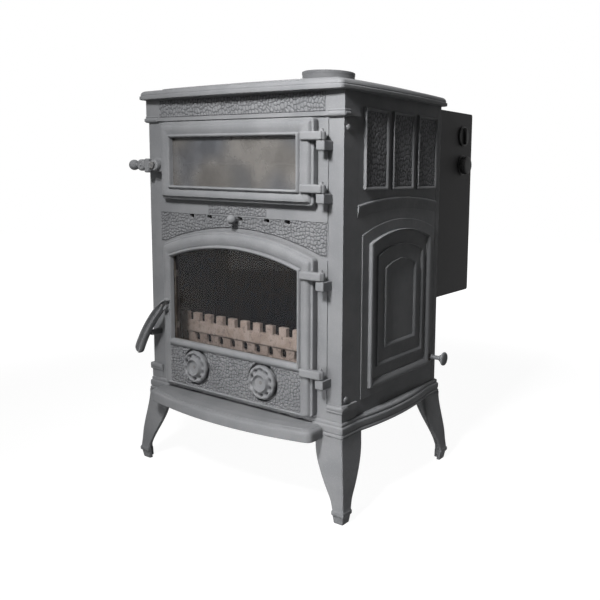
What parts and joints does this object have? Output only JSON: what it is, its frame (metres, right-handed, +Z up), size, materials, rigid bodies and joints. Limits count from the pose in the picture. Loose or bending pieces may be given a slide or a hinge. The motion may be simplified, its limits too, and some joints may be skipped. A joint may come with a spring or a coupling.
{
  "type": "wood-burning cast iron stove with oven",
  "caption": "Cast iron stove on four splayed legs with an oven door over an arched fire door, air controls, a shaker grate and a sheet box behind.",
  "frame": {"origin": "on the floor, midway between the four legs, under the middle of the cast body", "axes": "+Z up along the flue, -Y towards the front of the doors, +X towards the hinged side of the doors"},
  "size_m": [0.64, 0.66, 0.936],
  "materials": {
    "painted_iron": "castings sprayed with matt heat-resistant grey paint, fine sand texture",
    "bare_iron": "bare dark castings",
    "burnt_iron": "bare casting browned by heat",
    "sheet_steel": "plain steel",
    "black_sheet": "matt black sheet steel",
    "stove_glass": "clear ceramic stove glass",
    "rope": "woven glass-fibre seal rope",
    "black_plastic": "black moulded plastic"
  },
  "bodies": {
    "root": {"base_plate": "painted_iron", "leg_front_left": "painted_iron", "leg_front_right": "painted_iron", "leg_rear_left": "painted_iron", "leg_rear_right": "painted_iron", "leg_bolts": "sheet_steel", "ash_apron": "painted_iron", "front_frame": "painted_iron", "side_panel_left": "painted_iron", "side_panel_right": "painted_iron", "back_panel": "painted_iron", "top_plate": "painted_iron", "flue_collar": "painted_iron", "collar_bolts": "sheet_steel", "tie_rods": "sheet_steel", "corner_bolts": "painted_iron", "ash_box": "bare_iron", "ash_pan": "sheet_steel", "firebox_floor": "bare_iron", "liner_left": "bare_iron", "liner_right": "bare_iron", "liner_rear": "bare_iron", "log_retainer": "burnt_iron", "baffle_plate": "bare_iron", "oven_box": "bare_iron", "oven_shelf": "sheet_steel", "oven_hinge_brackets": "painted_iron", "fire_hinge_brackets": "painted_iron", "oven_hinge_pins": "sheet_steel", "fire_hinge_pins": "sheet_steel", "latch_keepers": "painted_iron", "shaker_bush": "sheet_steel", "rear_housing": "black_sheet", "blower_motor": "sheet_steel", "control_bodies": "black_plastic", "power_inlet": "black_plastic"},
    "oven_door": {"oven_door_frame": "painted_iron", "oven_door_glass": "stove_glass", "oven_door_ropes": "rope", "oven_glass_clips": "sheet_steel", "oven_latch_screw": "painted_iron"},
    "oven_latch": {"oven_latch_lever": "painted_iron"},
    "fire_door": {"fire_door_frame": "painted_iron", "fire_door_glass": "stove_glass", "fire_door_ropes": "rope", "fire_glass_clips": "sheet_steel", "fire_handle_screw": "painted_iron", "dial_spindles": "sheet_steel"},
    "fire_door_handle": {"fire_handle": "painted_iron"},
    "left_dial": {"air_dial_left": "painted_iron"},
    "right_dial": {"air_dial_right": "painted_iron"},
    "air_control": {"air_slider": "sheet_steel", "air_slider_knob": "painted_iron"},
    "shaker": {"grate": "bare_iron", "shaker_rod": "painted_iron"},
    "thermostat": {"thermostat_knob": "black_plastic"},
    "speed": {"speed_knob": "black_plastic"},
    "blower": {"blower_wheel": "sheet_steel"}
  },
  "joints": [
    {"name": "oven_door_hinge", "type": "hinge", "parent": "root", "child": "oven_door", "pos_m": [0.243, -0.211, 0.7], "axis": [0, 0, 1], "range_deg": [0, 105]},
    {"name": "oven_latch_pivot", "type": "hinge", "parent": "oven_door", "child": "oven_latch", "pos_m": [-0.23, -0.216, 0.705], "axis": [0, 1, 0], "range_deg": [0, 45]},
    {"name": "fire_door_hinge", "type": "hinge", "parent": "root", "child": "fire_door", "pos_m": [0.243, -0.211, 0.38], "axis": [0, 0, 1], "range_deg": [0, 105]},
    {"name": "fire_handle_pivot", "type": "hinge", "parent": "fire_door", "child": "fire_door_handle", "pos_m": [-0.202, -0.227, 0.388], "axis": [0, 1, 0], "range_deg": [0, 50]},
    {"name": "left_dial_spin", "type": "hinge", "parent": "fire_door", "child": "left_dial", "pos_m": [-0.109, -0.219, 0.257], "axis": [0, 1, 0], "range_deg": [0, 36]},
    {"name": "right_dial_spin", "type": "hinge", "parent": "fire_door", "child": "right_dial", "pos_m": [0.091, -0.219, 0.257], "axis": [0, 1, 0], "range_deg": [0, 36]},
    {"name": "air_slide", "type": "slide", "parent": "root", "child": "air_control", "axis": [1, 0, 0], "range_m": [-0.012, 0.012]},
    {"name": "grate_shake", "type": "slide", "parent": "root", "child": "shaker", "axis": [1, 0, 0], "range_m": [0, 0.025]},
    {"name": "thermostat_turn", "type": "hinge", "parent": "root", "child": "thermostat", "pos_m": [0.264, 0.337, 0.791], "axis": [1, 0, 0], "range_deg": [0, 270]},
    {"name": "speed_turn", "type": "hinge", "parent": "root", "child": "speed", "pos_m": [0.264, 0.337, 0.719], "axis": [1, 0, 0], "range_deg": [0, 270]},
    {"name": "blower_spin", "type": "hinge", "parent": "root", "child": "blower", "pos_m": [0.025, 0.289, 0.52], "axis": [1, 0, 0], "continuous": true}
  ]
}
